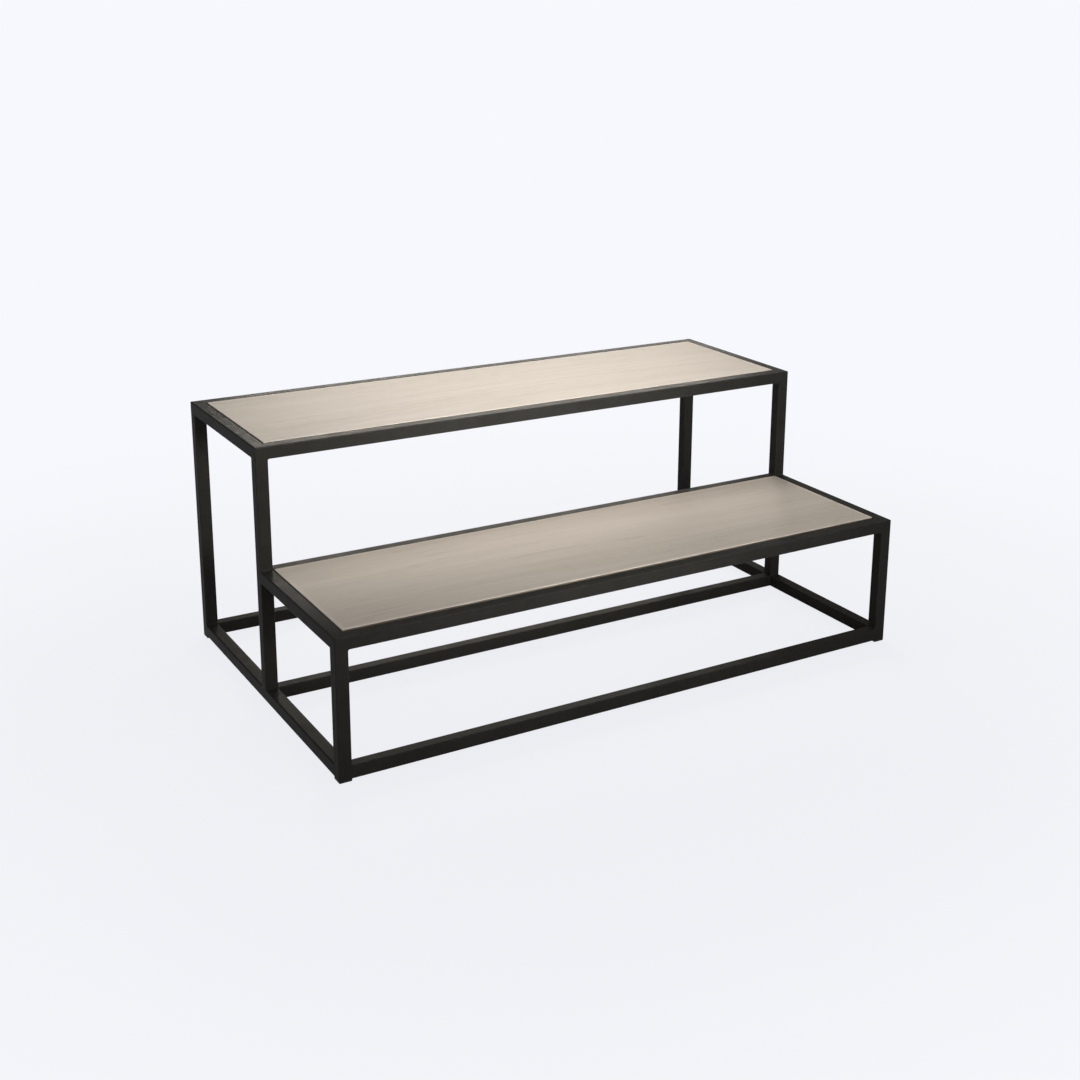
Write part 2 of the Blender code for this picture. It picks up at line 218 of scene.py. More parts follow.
def makeOak():
    finish, tree, shader, place = newFinish("greige_oak_decor")
    at = place.outputs["Object"]
    # the grain wanders a little across the board
    wander = calc(tree, "MULTIPLY", cloud(tree, at, oak["wanderScale"], detail=2.0), oak["wander"])
    sway = joined(tree, y=wander)
    flow = add(tree, "ShaderNodeVectorMath", {0: at, 1: sway}, operation="ADD").outputs[0]
    bands = cloud(tree, flow, oak["bandScale"])
    figure = calc(tree, "SINE", calc(tree, "MULTIPLY", bands, 2 * math.pi * oak["contours"]))
    fibres = cloud(tree, flow, oak["fibreScale"], detail=5.0, roughness=0.6)
    tone = calc(tree, "MULTIPLY", bands, oak["bandShare"])
    tone = calc(tree, "MULTIPLY_ADD", figure, oak["figureShare"], tone)
    tone = calc(tree, "MULTIPLY_ADD", fibres, oak["fibreShare"], tone)
    colour = blendColour(tree, spread(tree, tone, oak["toneRange"]), oak["pale"], oak["brown"])
    # short darker flecks lie in drifts, pores crowd into the darker bands
    dashes = cloud(tree, flow, oak["fleckScale"], detail=3.0, roughness=0.55)
    drifts = cloud(tree, at, oak["driftScale"], detail=2.0)
    inFleck = calc(tree, "MULTIPLY", spread(tree, dashes, oak["fleckRange"], smooth=True),
                   spread(tree, drifts, oak["driftRange"], oak["driftLeast"], smooth=True))
    colour = blendColour(tree, calc(tree, "MULTIPLY", inFleck, oak["fleckShare"]), colour, oak["fleck"])
    pores = cloud(tree, flow, oak["poreScale"], detail=2.0)
    inPore = calc(tree, "MULTIPLY", spread(tree, pores, oak["poreRange"]),
                  spread(tree, bands, oak["crowdRange"], oak["crowdLeast"]))
    colour = blendColour(tree, calc(tree, "MULTIPLY", inPore, oak["poreShare"]), colour, oak["pore"])
    # the decor is rolled over the arris, and there and on a narrow margin it is painted paler: a painted
    # highlight along the edge, broken up by wear
    margin = add(tree, "ShaderNodeAttribute", attribute_name="margin").outputs["Fac"]
    rubbed = spread(tree, cloud(tree, at, oak["highlightAndWearScale"]), noiseRange, oak["highlightAndWearLeast"])
    rubbed = calc(tree, "MULTIPLY", margin, rubbed)
    colour = blendColour(tree, calc(tree, "MULTIPLY", rubbed, oak["highlightAndWearShare"]), colour, oak["arris"])
    tree.links.new(colour, shader.inputs["Base Color"])
    rough = spread(tree, fibres, noiseRange, oak["roughLow"], oak["roughHigh"])
    rough = calc(tree, "MULTIPLY_ADD", inPore, oak["poreRough"], rough)
    tree.links.new(rough, shader.inputs["Roughness"])
    shader.inputs["Specular IOR Level"].default_value = oak["specular"]
    height = calc(tree, "MULTIPLY_ADD", inPore, -oak["poreDepth"], fibres)
    emboss(tree, shader, height, oak["bump"], oak["bumpDepth"])
    return finish


# brown oak band on the board edges; its dark brown is partly painted shade, standing for the shadow in the
# gap, and it is seen as a thin line over that gap

band = {
    # deep and warm: dark browns that partly stand for painted shade in the gap
    "deep": (0.17, 0.135, 0.098, 1),
    "warm": (0.27, 0.222, 0.168, 1),
    "streakScale": (9.0, 9.0, 700.0),
    "streakRange": (0.35, 0.65),
    "roughScale": 220.0,
    "roughLow": 0.46,
    "roughHigh": 0.60,
    "specular": 0.2,
    "bump": 0.1,
    "bumpDepth": 0.0002,
}


def makeEdgeBand():
    finish, tree, shader, place = newFinish("edge_band_painted_gap_shade")
    at = place.outputs["Object"]
    streak = cloud(tree, at, band["streakScale"], detail=4.0, roughness=0.6)
    colour = blendColour(tree, spread(tree, streak, band["streakRange"]), band["deep"], band["warm"])
    tree.links.new(colour, shader.inputs["Base Color"])
    rough = cloud(tree, at, band["roughScale"])
    rough = spread(tree, rough, noiseRange, band["roughLow"], band["roughHigh"])
    tree.links.new(rough, shader.inputs["Roughness"])
    shader.inputs["Specular IOR Level"].default_value = band["specular"]
    emboss(tree, shader, streak, band["bump"], band["bumpDepth"])
    return finish


# zinc-plated steel of the wood screws

zinc = {
    "bright": (0.66, 0.665, 0.66, 1),
    "dull": (0.44, 0.44, 0.42, 1),
    "straw": (0.62, 0.58, 0.46, 1),
    "blotchScale": 420.0,
    "blotchRange": (0.35, 0.68),
    "tintScale": 160.0,
    "tintRange": (0.5, 0.75),
    "tintShare": 0.5,
    "roughLow": 0.26,
    "roughHigh": 0.44,
    "markScale": (900.0, 900.0, 4000.0),
    "bump": 0.12,
    "bumpDepth": 0.0001,
}


def makeZinc():
    finish, tree, shader, place = newFinish("zinc_plate")
    at = place.outputs["Object"]
    blotch = cloud(tree, at, zinc["blotchScale"], detail=4.0, roughness=0.6)
    colour = blendColour(tree, spread(tree, blotch, zinc["blotchRange"]), zinc["bright"], zinc["dull"])
    tint = cloud(tree, at, zinc["tintScale"], detail=2.0)
    tint = spread(tree, tint, zinc["tintRange"], 0.0, zinc["tintShare"])
    colour = blendColour(tree, tint, colour, zinc["straw"])
    tree.links.new(colour, shader.inputs["Base Color"])
    shader.inputs["Metallic"].default_value = 1.0
    rough = spread(tree, blotch, noiseRange, zinc["roughLow"], zinc["roughHigh"])
    tree.links.new(rough, shader.inputs["Roughness"])
    marks = cloud(tree, at, zinc["markScale"], detail=2.0)
    emboss(tree, shader, marks, zinc["bump"], zinc["bumpDepth"])
    return finish


# moulded black plastic of the glides

glide = {
    "base": (0.014, 0.014, 0.014, 1),
    "scuffed": (0.05, 0.049, 0.047, 1),
    "scuffHeights": (0.0028, 0.0002),       # scuffed where it slides
    "scratchScale": (900.0, 160.0, 900.0),
    "scratchRange": (0.5, 0.66),
    "sparkScale": 3200.0,
    "roughLow": 0.48,
    "roughHigh": 0.64,
    "specular": 0.3,
    "bump": 0.2,
    "bumpDepth": 0.0001,
}


def makeGlidePlastic():
    finish, tree, shader, place = newFinish("moulded_glide_plastic")
    at = place.outputs["Object"]
    nearFloor = spread(tree, parts(tree, at)[2], glide["scuffHeights"])
    scratch = cloud(tree, at, glide["scratchScale"], detail=4.0, roughness=0.65)
    worn = calc(tree, "MULTIPLY", nearFloor, spread(tree, scratch, glide["scratchRange"]))
    colour = blendColour(tree, worn, glide["base"], glide["scuffed"])
    tree.links.new(colour, shader.inputs["Base Color"])
    spark = cloud(tree, at, glide["sparkScale"], detail=2.0)
    rough = spread(tree, spark, noiseRange, glide["roughLow"], glide["roughHigh"])
    tree.links.new(rough, shader.inputs["Roughness"])
    shader.inputs["Specular IOR Level"].default_value = glide["specular"]
    emboss(tree, shader, spark, glide["bump"], glide["bumpDepth"])
    return finish


blackCoat = makeCoat()
oakDecor = makeOak()
edgeBand = makeEdgeBand()
zincPlate = makeZinc()
blackPlastic = makeGlidePlastic()


def dress(node, finish):
    node.data.materials.clear()
    node.data.materials.append(finish)


for name, node in nodes.items():
    if name.endswith("_glide"):
        dress(node, blackPlastic)
    elif name.endswith(("_rail", "_leg")) or "_tab_" in name:
        dress(node, blackCoat)
print("finishes mixed and put on the tubes, tabs and glides")


def linkMesh(name, mesh):
    piece = bpy.data.objects.new(name, mesh)
    scene.collection.objects.link(piece)
    return piece


# the two boards: decor rolled over the upper arris, a band round the edge, a backing sheet below

board = {
    "cornerRadius": 0.0014,
    "leastRadius": 0.0002,
    "cornerSteps": 5,
    "arris": 0.0009,
    "arrisSteps": 4,
    "margin": 0.0060,           # width of the paler margin on the upper face, a painted highlight partly worn
    "backInset": 0.0012,        # the backing sheet stops short of the edge
    "jointWidth": 0.00020,
    "jointDepth": 0.00015,
    "sharpAngle": 35,
}


def boardOutline(low, high, inset):
    radius = max(board["cornerRadius"] - inset, board["leastRadius"])
    left, right = low.x + inset + radius, high.x - inset - radius
    front, back = low.y + inset + radius, high.y - inset - radius
    corners = ((right, back), (left, back), (left, front), (right, front))
    points = []
    for quarter, (x, y) in enumerate(corners):
        for step in range(board["cornerSteps"]):
            angle = math.radians(90 * quarter + 90 * step / (board["cornerSteps"] - 1))
            points.append((x + radius * math.cos(angle), y + radius * math.sin(angle)))
    return points


def boardSection(low, high):
    arris, steps = board["arris"], board["arrisSteps"]
    turn = [math.radians(90 * step / steps) for step in range(steps + 1)]
    stop, width = board["backInset"], board["jointWidth"]
    joint = [(stop + width, low.z), (stop + width / 2, low.z + board["jointDepth"]), (stop, low.z)]
    lower = [(arris * (1 - math.sin(a)), low.z + arris * (1 - math.cos(a))) for a in turn]
    upper = [(arris * (1 - math.cos(a)), high.z - arris * (1 - math.sin(a))) for a in turn]
    return joint + lower + upper + [(arris + board["margin"], high.z)]


def makeBoard(name, nodeName):
    low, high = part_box(nodeName)
    section = boardSection(low, high)
    shape = bmesh.new()
    loops = []
    for inset, z in section:
        loops.append([shape.verts.new((x, y, z)) for x, y in boardOutline(low, high, inset)])
    count = len(loops[0])
    rolled = len(section) - board["arrisSteps"] - 2     # level where the decor begins
    banded = range(2, rolled)                           # lower arris and upright side
    for level, (loop, above) in enumerate(zip(loops, loops[1:])):
        for i in range(count):
            j = (i + 1) % count
            face = shape.faces.new((loop[i], loop[j], above[j], above[i]))
            face.material_index = 1 if level in banded else 0
            face.smooth = True
    shape.faces.new(loops[-1])
    shape.faces.new(list(reversed(loops[0])))
    bmesh.ops.recalc_face_normals(shape, faces=shape.faces)
    mesh = bpy.data.meshes.new(name)
    shape.to_mesh(mesh)
    shape.free()
    mesh.materials.append(oakDecor)
    mesh.materials.append(edgeBand)
    # mask of the rolled arris and the margin, where the pale painted highlight goes
    margin = [float(rolled <= level < len(section) - 1)
              for level in range(len(section)) for corner in range(count)]
    mesh.attributes.new("margin", "FLOAT", "POINT").data.foreach_set("value", margin)
    mesh.set_sharp_from_angle(angle=math.radians(board["sharpAngle"]))
    piece = linkMesh(name, mesh)
    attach(piece, "root")
    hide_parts(nodeName)


makeBoard("upper_board_dressed", "upper_shelf_board")
makeBoard("lower_board_dressed", "lower_shelf_board")
print("boards cut and edge-banded")


# Geometry Nodes: set-up shared by the welds, the seams and the screws

def newTree(name, sizes, counts=()):
    tree = bpy.data.node_groups.new(name, "GeometryNodeTree")
    sockets = [("Points", "NodeSocketGeometry")]
    sockets += [(label, "NodeSocketFloat") for label in sizes]
    sockets += [(label, "NodeSocketInt") for label in counts]
    sockets += [("Finish", "NodeSocketMaterial")]
    for label, kind in sockets:
        tree.interface.new_socket(label, in_out="INPUT", socket_type=kind)
    tree.interface.new_socket("Geometry", in_out="OUTPUT", socket_type="NodeSocketGeometry")
    return tree, add(tree, "NodeGroupInput").outputs


def closeTree(tree, geometry, finish):
    real = add(tree, "GeometryNodeRealizeInstances", {"Geometry": geometry}).outputs[0]
    smooth = add(tree, "GeometryNodeSetShadeSmooth", {"Geometry": real}).outputs[0]
    painted = add(tree, "GeometryNodeSetMaterial", {"Geometry": smooth, "Material": finish}).outputs[0]
    add(tree, "NodeGroupOutput", {"Geometry": painted})


def position(tree):
    return add(tree, "GeometryNodeInputPosition").outputs[0]


def moved(tree, geometry, place):
    return add(tree, "GeometryNodeSetPosition", {"Geometry": geometry, "Position": place}).outputs[0]


def together(tree, *pieces):
    node = add(tree, "GeometryNodeJoinGeometry")
    for piece in pieces:
        tree.links.new(piece, node.inputs[0])
    return node.outputs[0]


def readFact(tree, label, kind="FLOAT_VECTOR"):
    node = add(tree, "GeometryNodeInputNamedAttribute", {"Name": label}, data_type=kind)
    return node.outputs[0]


def facing(tree):
    axes = {"Primary Axis": readFact(tree, "along"), "Secondary Axis": readFact(tree, "out")}
    node = add(tree, "FunctionNodeAxesToRotation", axes, primary_axis="Z", secondary_axis="X")
    return node.outputs[0]


def pointMesh(name, places, facts):
    mesh = bpy.data.meshes.new(name)
    mesh.from_pydata([tuple(p) for p in places], [], [])
    for label, values in facts.items():
        if isinstance(values[0], float):
            mesh.attributes.new(label, "FLOAT", "POINT").data.foreach_set("value", values)
        else:
            flat = [part for value in values for part in value]
            mesh.attributes.new(label, "FLOAT_VECTOR", "POINT").data.foreach_set("vector", flat)
    return mesh


def growPiece(name, seeds, tree, values, sharpAngle):
    piece = linkMesh(name, seeds)
    modifier = piece.modifiers.new(tree.name, "NODES")
    modifier.node_group = tree
    for item in tree.interface.items_tree:
        if item.in_out == "INPUT" and item.name in values:
            modifier[item.identifier] = values[item.name]
    ready = piece.evaluated_get(bpy.context.evaluated_depsgraph_get())
    mesh = bpy.data.meshes.new_from_object(ready)
    piece.modifiers.clear()
    piece.data = mesh
    mesh.name = name
    mesh.set_sharp_from_angle(angle=math.radians(sharpAngle))
    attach(piece, "root")
    print(" ", name, "has", len(mesh.polygons), "faces")
    return piece


# fillet welds in the inside corners of the frame, coated over

weld = {
    "leg": 0.0052,
    "length": 0.0172,
    "sides": 16,
    "rings": 26,
    "root": 0.06,               # how far the bead reaches into the corner, in legs
    "thinRange": (0.72, 1.0),   # where it thins out, in half lengths
    "thinEnd": 0.45,
    "ripples": 9.0,
    "rippleDepth": 0.05,
    "rough": 0.00028,
    "roughScale": 420.0,
    "ringScale": 0.8,           # smaller beads on the low ring's joints with the middle legs
    "baseScale": 0.66,          # and on the base joints
    "tabLeg": 0.0022,
    "tabLength": 0.011,
    "tabOffset": 0.0115,
    "tabRipples": 6.0,
    "tabRippleDepth": 0.09,
    "sharpAngle": 48,
}


def cornerWeldTree():
    tree, given = newTree("corner_weld", ["Leg", "Length", "Ripples", "Ripple Depth", "Rough"])
    bar = add(tree, "GeometryNodeMeshCylinder", {
        "Vertices": weld["sides"], "Side Segments": weld["rings"], "Radius": 1.0, "Depth": 1.0})
    x, y, z = parts(tree, position(tree))
    angle = calc(tree, "ARCTAN2", y, x)
    # hollow face from toe to toe, the one point behind the toes lies in the corner itself
    toe = math.pi - 2 * math.pi / weld["sides"]
    sweep = calc(tree, "SUBTRACT", math.pi, calc(tree, "MULTIPLY", angle, math.radians(45) / toe))
    inside = calc(tree, "GREATER_THAN", calc(tree, "ABSOLUTE", angle), (toe + math.pi) / 2)
    face = calc(tree, "SUBTRACT", 1.0, inside)
    across = calc(tree, "ADD", calc(tree, "COSINE", sweep), math.sqrt(2))
    across = calc(tree, "MULTIPLY_ADD", inside, -weld["root"], calc(tree, "MULTIPLY", across, face))
    aside = calc(tree, "MULTIPLY", calc(tree, "SINE", sweep), face)
    # bead thins out at both ends and carries the ripples of the torch
    end = calc(tree, "ABSOLUTE", calc(tree, "MULTIPLY", z, 2.0))
    thin = spread(tree, end, weld["thinRange"], 1.0, weld["thinEnd"], smooth=True)
    wave = calc(tree, "MULTIPLY", calc(tree, "MULTIPLY", z, given["Ripples"]), 2 * math.pi)
    wave = calc(tree, "MULTIPLY_ADD", calc(tree, "SINE", wave), given["Ripple Depth"], 1.0)
    thick = calc(tree, "MULTIPLY", calc(tree, "MULTIPLY", thin, wave), given["Leg"])
    section = joined(tree, calc(tree, "MULTIPLY", across, thick), calc(tree, "MULTIPLY", aside, thick),
                     calc(tree, "MULTIPLY", z, given["Length"]))
    bead = moved(tree, bar.outputs["Mesh"], section)
    size = readFact(tree, "size", "FLOAT")
    laid = add(tree, "GeometryNodeInstanceOnPoints", {
        "Points": given["Points"], "Instance": bead, "Rotation": facing(tree),
        "Scale": joined(tree, size, size, 1.0)})
    real = add(tree, "GeometryNodeRealizeInstances", {"Geometry": laid.outputs[0]})
    spot = cloud(tree, position(tree), weld["roughScale"], detail=2.0)
    push = calc(tree, "MULTIPLY", calc(tree, "SUBTRACT", spot, 0.5), given["Rough"])
    normal = add(tree, "GeometryNodeInputNormal").outputs[0]
    offset = add(tree, "ShaderNodeVectorMath", {0: normal, "Scale": push}, operation="SCALE").outputs[0]
    uneven = add(tree, "GeometryNodeSetPosition", {"Geometry": real.outputs[0], "Offset": offset})
    closeTree(tree, uneven.outputs[0], given["Finish"])
    return tree


def middle(box):
    return (box[0] + box[1]) / 2


def side(box, axis, way):
    return box[1][axis] if way > 0 else box[0][axis]


def frameSeams():
    seams = []

    def lay(point, along, out, size=1.0):
        seams.append((Vector(point), Vector(along), Vector(out).normalized(), size))

    tops = {"rear": ("upper_back_rail", -1), "middle": ("upper_front_rail", 1),
            "front": ("lower_front_rail", 1)}
    ring, base = weld["ringScale"], weld["baseScale"]
    for hand, inX in (("left", 1), ("right", -1)):
        for row, (rail, inY) in tops.items():
            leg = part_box(f"{row}_{hand}_leg")
            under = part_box(rail)[0].z
            lay((side(leg, 0, inX), middle(leg).y, under), (0, 1, 0), (inX, 0, -1))
            lay((middle(leg).x, side(leg, 1, inY), under), (1, 0, 0), (0, inY, -1))
        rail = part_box(f"lower_{hand}_rail")
        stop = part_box(f"middle_{hand}_leg")
        lay((middle(rail).x, stop[0].y, rail[1].z), (1, 0, 0), (0, -1, 1), ring)
        lay((middle(rail).x, stop[0].y, rail[0].z), (1, 0, 0), (0, -1, -1), ring)
        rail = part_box("lower_back_rail")
        lay((side(stop, 0, inX), middle(rail).y, rail[1].z), (0, 1, 0), (inX, 0, 1), ring)
        lay((side(stop, 0, inX), middle(rail).y, rail[0].z), (0, 1, 0), (inX, 0, -1), ring)
        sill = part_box(f"base_{hand}_rail")
        for row, inY in (("front", 1), ("rear", -1)):
            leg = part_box(f"{row}_{hand}_leg")
            lay((side(leg, 0, inX), middle(leg).y, sill[1].z), (0, 1, 0), (inX, 0, 1), base)
            lay((middle(leg).x, side(leg, 1, inY), sill[1].z), (1, 0, 0), (0, inY, 1), base)
        lay((middle(sill).x, stop[0].y, sill[1].z), (1, 0, 0), (0, -1, 1), base)
        lay((middle(sill).x, stop[1].y, sill[1].z), (1, 0, 0), (0, 1, 1), base)
        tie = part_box("base_middle_rail")
        lay((side(sill, 0, inX), tie[0].y, middle(tie).z), (0, 0, 1), (inX, -1, 0), base)
        lay((side(sill, 0, inX), tie[1].y, middle(tie).z), (0, 0, 1), (inX, 1, 0), base)
    return seams


def tabSeams():
    seams = []
    for tier in ("upper", "lower"):
        for row, inY in (("front", 1), ("back", -1)):
            face = side(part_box(f"{tier}_{row}_rail"), 1, inY)
            for number in (1, 2, 3):
                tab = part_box(f"{tier}_tab_{row}_{number}")
                for shift in (-weld["tabOffset"], weld["tabOffset"]):
                    point = Vector((middle(tab).x + shift, face, tab[0].z))
                    seams.append((point, Vector((1, 0, 0)), Vector((0, inY, -1)).normalized(), 1.0))
    return seams


def layWelds(name, seams, tree, values):
    points, along, out, sizes = zip(*seams)
    seeds = pointMesh(name, points, {"along": along, "out": out, "size": sizes})
    piece = growPiece(name, seeds, tree, values, weld["sharpAngle"])


cornerWeld = cornerWeldTree()
layWelds("frame_corner_welds", frameSeams(), cornerWeld, {
    "Leg": weld["leg"], "Length": weld["length"], "Ripples": weld["ripples"],
    "Ripple Depth": weld["rippleDepth"], "Rough": weld["rough"], "Finish": blackCoat})
layWelds("tab_stitch_welds", tabSeams(), cornerWeld, {
    "Leg": weld["tabLeg"], "Length": weld["tabLength"], "Ripples": weld["tabRipples"],
    "Ripple Depth": weld["tabRippleDepth"], "Rough": weld["rough"], "Finish": blackCoat})
print("fillet welds laid")


# seams ground flush: weld metal fills the butts and their rounded edges, a fine line closes each mitre

seam = {
    "tube": 0.02,
    "tubeCorner": 0.002,
    "cornerPoints": 5,
    "gap": 0.0003,          # between the CAD tubes
    "seat": 0.00005,        # how far the metal reaches into the end of the butted tube
    "fillPoints": 8,
    "lineRadius": 0.00034,
    "linePoints": 8,
    "proud": 0.00002,       # what the grinding left standing
}


def tubeLoop(tree, width, corner):
    square = add(tree, "GeometryNodeCurvePrimitiveQuadrilateral", {0: width, 1: width}).outputs[0]
    wired = {"Curve": square, "Radius": corner, "Count": seam["cornerPoints"]}
    return add(tree, "GeometryNodeFilletCurve", wired, mode="POLY").outputs[0]


def setAround(tree, given, loop):
    laid = add(tree, "GeometryNodeInstanceOnPoints", {
        "Points": given["Points"], "Instance": loop, "Rotation": facing(tree)})
    closeTree(tree, laid.outputs[0], given["Finish"])


def buttFillTree():
    tree, given = newTree("butt_fill", ["Tube", "Tube Corner", "Gap", "Seat", "Proud"])
    ring = add(tree, "GeometryNodeCurvePrimitiveCircle", {"Resolution": seam["fillPoints"], "Radius": 1.0})
    # section: from the end of the butted tube up to the round edge of the tube it meets
    step = add(tree, "GeometryNodeInputIndex").outputs[0]
    last = seam["fillPoints"] - 1
    angle = spread(tree, step, (1, last - 1), 0.0, math.pi / 2)
    radius = given["Tube Corner"]
    inward = calc(tree, "MULTIPLY", calc(tree, "SUBTRACT", calc(tree, "COSINE", angle), 1.0), radius)
    rise = calc(tree, "SUBTRACT", 1.0, calc(tree, "SINE", angle))
    rise = calc(tree, "MULTIPLY_ADD", rise, radius, given["Gap"])
    # its first and last point lie in the seat
    first = calc(tree, "LESS_THAN", step, 0.5)
    ends = calc(tree, "ADD", first, calc(tree, "GREATER_THAN", step, last - 0.5))
    rise = calc(tree, "MULTIPLY", rise, calc(tree, "SUBTRACT", 1.0, ends))
    rise = calc(tree, "SUBTRACT", rise, calc(tree, "MULTIPLY", ends, given["Seat"]))
    section = moved(tree, ring.outputs[0], joined(tree, inward, calc(tree, "MULTIPLY", rise, -1.0)))
    width = calc(tree, "MULTIPLY_ADD", given["Proud"], 2.0, given["Tube"])
    path = tubeLoop(tree, width, calc(tree, "ADD", radius, given["Proud"]))
    fill = add(tree, "GeometryNodeCurveToMesh", {"Curve": path, "Profile Curve": section})
    outward = add(tree, "GeometryNodeFlipFaces", {"Mesh": fill.outputs[0]})
    setAround(tree, given, outward.outputs[0])
    return tree


def mitreLineTree():
    tree, given = newTree("mitre_line", ["Tube", "Tube Corner", "Line Radius", "Proud", "Stretch",
                                         "Ground Off"])
    sunk = calc(tree, "SUBTRACT", given["Line Radius"], given["Proud"])
    width = calc(tree, "MULTIPLY_ADD", sunk, -2.0, given["Tube"])
    loop = tubeLoop(tree, width, calc(tree, "SUBTRACT", given["Tube Corner"], sunk))
    # a mitre is cut on the slant, and its outer upright edge is ground round
    x, y, z = parts(tree, position(tree))
    reach = calc(tree, "MULTIPLY", calc(tree, "MULTIPLY", width, 0.5), given["Stretch"])
    limit = calc(tree, "SUBTRACT", reach, given["Ground Off"])
    slant = calc(tree, "MINIMUM", calc(tree, "MULTIPLY", x, given["Stretch"]), limit)
    path = moved(tree, loop, joined(tree, slant, y, z))
    wire = add(tree, "GeometryNodeCurvePrimitiveCircle", {
        "Resolution": seam["linePoints"], "Radius": given["Line Radius"]})
    line = add(tree, "GeometryNodeCurveToMesh", {"Curve": path, "Profile Curve": wire.outputs[0]})
    setAround(tree, given, line.outputs[0])
    return tree


def mitrePlaces():
    places = []
    for hand, outX in (("left", -1), ("right", 1)):
        for row, rail, outY in (("rear", "upper_back_rail", 1), ("middle", "upper_front_rail", -1),
                                ("front", "lower_front_rail", -1)):
            centre = middle(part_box(f"{row}_{hand}_leg"))
            point = Vector((centre.x, centre.y, middle(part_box(rail)).z))
            places.append((point, Vector((-outY, outX, 0)), Vector((outX, outY, 0)).normalized(), 1.0))
    return places


def buttPlaces():
    places = []

    # each place is the end of the butted tube, and along points at the tube it meets
    def lay(point, along):
        out = (1, 0, 0) if along[0] == 0 else (0, 1, 0)
        places.append((Vector(point), Vector(along), Vector(out), 1.0))

    for hand, outX in (("left", -1), ("right", 1)):
        for row in ("rear", "middle", "front"):
            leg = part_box(f"{row}_{hand}_leg")
            lay((middle(leg).x, middle(leg).y, leg[1].z), (0, 0, 1))
        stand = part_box(f"middle_{hand}_leg")
        lay((middle(stand).x, middle(stand).y, stand[0].z), (0, 0, -1))
        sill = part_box(f"base_{hand}_rail")
        lay((middle(sill).x, sill[0].y, middle(sill).z), (0, -1, 0))
        lay((middle(sill).x, sill[1].y, middle(sill).z), (0, 1, 0))
        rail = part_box(f"lower_{hand}_rail")
        lay((middle(rail).x, rail[1].y, middle(rail).z), (0, 1, 0))
        for name in ("base_front_rail", "base_middle_rail", "base_back_rail", "lower_back_rail"):
            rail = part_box(name)
            lay((side(rail, 0, outX), middle(rail).y, middle(rail).z), (outX, 0, 0))
    return places


layWelds("butt_fills", buttPlaces(), buttFillTree(), {
    "Tube": seam["tube"], "Tube Corner": seam["tubeCorner"], "Gap": seam["gap"], "Seat": seam["seat"],
    "Proud": seam["proud"], "Finish": blackCoat})
layWelds("mitre_lines", mitrePlaces(), mitreLineTree(), {
    "Tube": seam["tube"], "Tube Corner": seam["tubeCorner"], "Line Radius": seam["lineRadius"],
    "Proud": seam["proud"], "Stretch": math.sqrt(2), "Ground Off": (math.sqrt(2) - 1) * seam["tubeCorner"],
    "Finish": blackCoat})
print("butts and mitres closed")


# pan-head wood screws, driven up through the tabs

screw = {
    "head": 0.0075,
    "headHeight": 0.0024,
    "headSegments": 32,
    "headRings": 18,
    "shoulder": 0.55,       # the lower, the squarer
    "slotWidth": 0.0010,
    "slotLength": 0.0042,
    "slotDepth": 0.0014,
    "shank": 0.0035,
    "length": 0.012,
    "coreShare": 0.36,      # radii as shares of the shank
    "threadShare": 0.42,
    "ridgeShare": 0.085,
    "coreSides": 20,
    "coreRings": 6,
    "coreTip": 0.0002,
    "pitch": 0.0015,
    "threaded": 0.9,        # share of the length
    "threadSteps": 18,
    "threadTip": 0.0004,
    "ridgeSides": 4,
    "seed": 7,
    "sharpAngle": 32,
}


